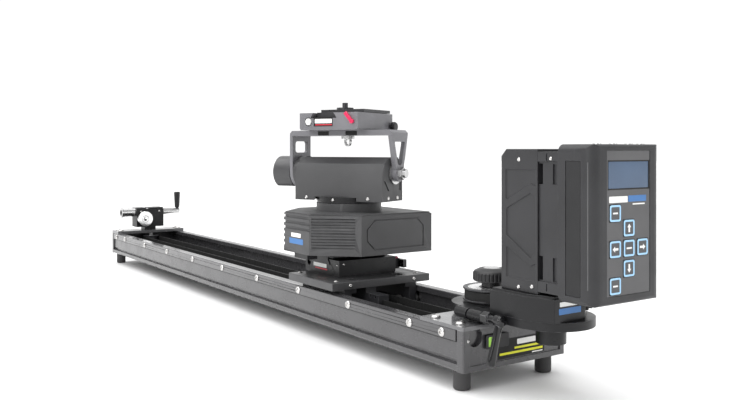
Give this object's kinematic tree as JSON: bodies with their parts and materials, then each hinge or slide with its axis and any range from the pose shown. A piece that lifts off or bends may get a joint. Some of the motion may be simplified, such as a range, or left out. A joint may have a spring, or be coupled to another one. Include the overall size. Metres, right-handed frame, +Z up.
{
  "type": "camera slider",
  "caption": "Motorised camera slider: a long roller bed with a belt-driven carriage, a pan and tilt head with quick releases, and an end-mounted key-pad controller.",
  "frame": {"origin": "mouth of the middle tripod socket, at the centre of the underside of the bed", "axes": "+X along the bed towards the drive end and the controller, -Y towards the operator, +Z up"},
  "size_m": [1.0816, 0.133, 0.2539],
  "materials": {
    "black_anodised": "satin black anodised",
    "grey_black_anodised": "satin dark grey anodised",
    "grey_anodised": "satin grey anodised, bright on its top face",
    "black_paint": "matt black",
    "textured_plastic": "fine textured dark grey moulding",
    "knob_plastic": "matt black moulding",
    "lever_black": "gloss black with worn silver edges",
    "foot_rubber": "matt",
    "belt_rubber": "matt toothed belt",
    "screw_steel": "polished zinc plated",
    "steel": "turned",
    "roller_steel": "ground",
    "chrome": "polished",
    "pulley_brass": "turned",
    "level_green": "clear green vial in a black holder",
    "screen": "slate blue display window",
    "key_cap": "black keys with pale blue borders",
    "red_lever": "gloss red",
    "white_ring": "white"
  },
  "bodies": {
    "bed": {"side_rails": "black_anodised", "track_strips": "black_anodised", "bed_screws": "screw_steel", "bed_floor": "black_paint", "end_cap_near": "black_anodised", "end_cap_far": "black_anodised", "top_plate_near": "grey_anodised", "top_plate_far": "grey_anodised", "rubber_feet": "foot_rubber", "bubble_level": "level_green", "drive_belt": "belt_rubber", "idler_axle": "steel", "motor_plate": "black_anodised", "motor_box": "black_anodised", "drive_motor": "steel", "short_belt": "belt_rubber", "bracket_body": "textured_plastic", "handset_mount": "textured_plastic", "handset_back": "textured_plastic", "handset_front": "textured_plastic", "lcd_screen": "screen", "clamp_block": "black_anodised"},
    "idler": {"idler_pulley": "black_anodised"},
    "drive": {"drive_shaft": "steel", "input_pulley": "black_anodised"},
    "knob": {"brake_knob": "knob_plastic"},
    "pinion": {"motor_pinion": "pulley_brass"},
    "lever": {"clamp_lever": "lever_black"},
    "cross": {"cross_shaft": "steel", "clamp_handle": "knob_plastic"},
    "disc": {"chrome_knob": "chrome"},
    "carriage": {"carriage_plate": "black_anodised", "carriage_blocks": "black_anodised", "roller_axles": "screw_steel", "belt_clamp": "black_anodised", "lower_qr_base": "black_anodised", "lower_qr_plate": "black_anodised", "pan_base": "textured_plastic", "pan_cover": "black_paint", "pan_motor": "steel"},
    "wheels_near": {"rollers_near": "roller_steel"},
    "wheels_far": {"rollers_far": "roller_steel"},
    "lower_lever": {"lower_qr_lever": "lever_black"},
    "pan_head": {"turntable": "black_anodised", "tilt_body": "textured_plastic", "tilt_motor": "black_anodised"},
    "tilt_yoke": {"tilt_bolt": "steel", "yoke": "grey_black_anodised", "upper_qr_base": "grey_black_anodised", "upper_qr_plate": "black_anodised"},
    "upper_lever": {"upper_qr_lever": "red_lever"},
    "lock_button": {"upper_lock_button": "white_ring"},
    "head_screw": {"camera_screw": "steel"},
    "key_menu": {"key_menu": "key_cap"},
    "key_up": {"key_up": "key_cap"},
    "key_left": {"key_left": "key_cap"},
    "key_enter": {"key_enter": "key_cap"},
    "key_right": {"key_right": "key_cap"},
    "key_down": {"key_down": "key_cap"},
    "key_shift": {"key_shift": "key_cap"}
  },
  "joints": [
    {"name": "carriage_slide", "type": "slide", "parent": "bed", "child": "carriage", "axis": [1, 0, 0], "range_m": [-0.575, 0.13]},
    {"name": "idler_spin", "type": "hinge", "parent": "bed", "child": "idler", "pos_m": [-0.449, 0, 0.0245], "axis": [0, 0, 1], "range_deg": [-2600, 600]},
    {"name": "drive_spin", "type": "hinge", "parent": "bed", "child": "drive", "pos_m": [0.449, 0, 0.0245], "axis": [0, 0, 1], "range_deg": [-2600, 600]},
    {"name": "pinion_spin", "type": "hinge", "parent": "bed", "child": "pinion", "pos_m": [0.516, 0, 0.056], "axis": [0, 0, 1], "range_deg": [-5980, 1360]},
    {"name": "wheels_near_roll", "type": "hinge", "parent": "carriage", "child": "wheels_near", "pos_m": [0.2615, 0, 0.01735], "axis": [0, 1, 0], "range_deg": [-3010, 690]},
    {"name": "wheels_far_roll", "type": "hinge", "parent": "carriage", "child": "wheels_far", "pos_m": [0.2055, 0, 0.01735], "axis": [0, 1, 0], "range_deg": [-3010, 690]},
    {"name": "brake_knob_turn", "type": "hinge", "parent": "drive", "child": "knob", "pos_m": [0.449, 0, 0.07], "axis": [0, 0, 1], "range_deg": [0, 540]},
    {"name": "clamp_lever_turn", "type": "hinge", "parent": "bed", "child": "lever", "pos_m": [0.49, -0.042, 0.0455], "axis": [1, 0, 0], "range_deg": [-75, 25]},
    {"name": "cross_shaft_turn", "type": "hinge", "parent": "bed", "child": "cross", "pos_m": [-0.462, 0, 0.071], "axis": [0, 1, 0], "range_deg": [-100, 100]},
    {"name": "disc_turn", "type": "hinge", "parent": "bed", "child": "disc", "pos_m": [-0.45, -0.011, 0.0595], "axis": [1, 0, 0], "range_deg": [-180, 180]},
    {"name": "lower_lever_turn", "type": "hinge", "parent": "carriage", "child": "lower_lever", "pos_m": [0.243, 0.04, 0.0565], "axis": [0, 1, 0], "range_deg": [-85, 0]},
    {"name": "pan", "type": "hinge", "parent": "carriage", "child": "pan_head", "pos_m": [0.213, 0, 0.128], "axis": [0, 0, 1], "continuous": true},
    {"name": "tilt", "type": "hinge", "parent": "pan_head", "child": "tilt_yoke", "pos_m": [0.21385, -0.00181, 0.158], "axis": [0.9063, 0.4226, 0], "range_deg": [-90, 90]},
    {"name": "upper_lever_turn", "type": "hinge", "parent": "tilt_yoke", "child": "upper_lever", "pos_m": [0.25489, -0.0224, 0.2144], "axis": [-0.4226, 0.9063, 0], "range_deg": [-45, 41]},
    {"name": "lock_button_press", "type": "slide", "parent": "tilt_yoke", "child": "lock_button", "axis": [-0.4226, 0.9063, 0], "range_m": [0, 0.0018], "stiffness_N_per_m": 400},
    {"name": "head_screw_turn", "type": "hinge", "parent": "tilt_yoke", "child": "head_screw", "pos_m": [0.21385, -0.00181, 0.2], "axis": [0, 0, 1], "range_deg": [-360, 360]},
    {"name": "key_menu_press", "type": "slide", "parent": "bed", "child": "key_menu", "axis": [-1, 0, 0], "range_m": [0, 0.0006], "stiffness_N_per_m": 400},
    {"name": "key_up_press", "type": "slide", "parent": "bed", "child": "key_up", "axis": [-1, 0, 0], "range_m": [0, 0.0006], "stiffness_N_per_m": 400},
    {"name": "key_left_press", "type": "slide", "parent": "bed", "child": "key_left", "axis": [-1, 0, 0], "range_m": [0, 0.0006], "stiffness_N_per_m": 400},
    {"name": "key_enter_press", "type": "slide", "parent": "bed", "child": "key_enter", "axis": [-1, 0, 0], "range_m": [0, 0.0006], "stiffness_N_per_m": 400},
    {"name": "key_right_press", "type": "slide", "parent": "bed", "child": "key_right", "axis": [-1, 0, 0], "range_m": [0, 0.0006], "stiffness_N_per_m": 400},
    {"name": "key_down_press", "type": "slide", "parent": "bed", "child": "key_down", "axis": [-1, 0, 0], "range_m": [0, 0.0006], "stiffness_N_per_m": 400},
    {"name": "key_shift_press", "type": "slide", "parent": "bed", "child": "key_shift", "axis": [-1, 0, 0], "range_m": [0, 0.0006], "stiffness_N_per_m": 400}
  ],
  "couplings": [
    {"joint": "idler_spin", "follows": "carriage_slide", "rad_per_m": 78.431},
    {"joint": "drive_spin", "follows": "carriage_slide", "rad_per_m": 78.431},
    {"joint": "pinion_spin", "follows": "carriage_slide", "rad_per_m": 180.2},
    {"joint": "wheels_near_roll", "follows": "carriage_slide", "rad_per_m": 90.909},
    {"joint": "wheels_far_roll", "follows": "carriage_slide", "rad_per_m": 90.909}
  ]
}
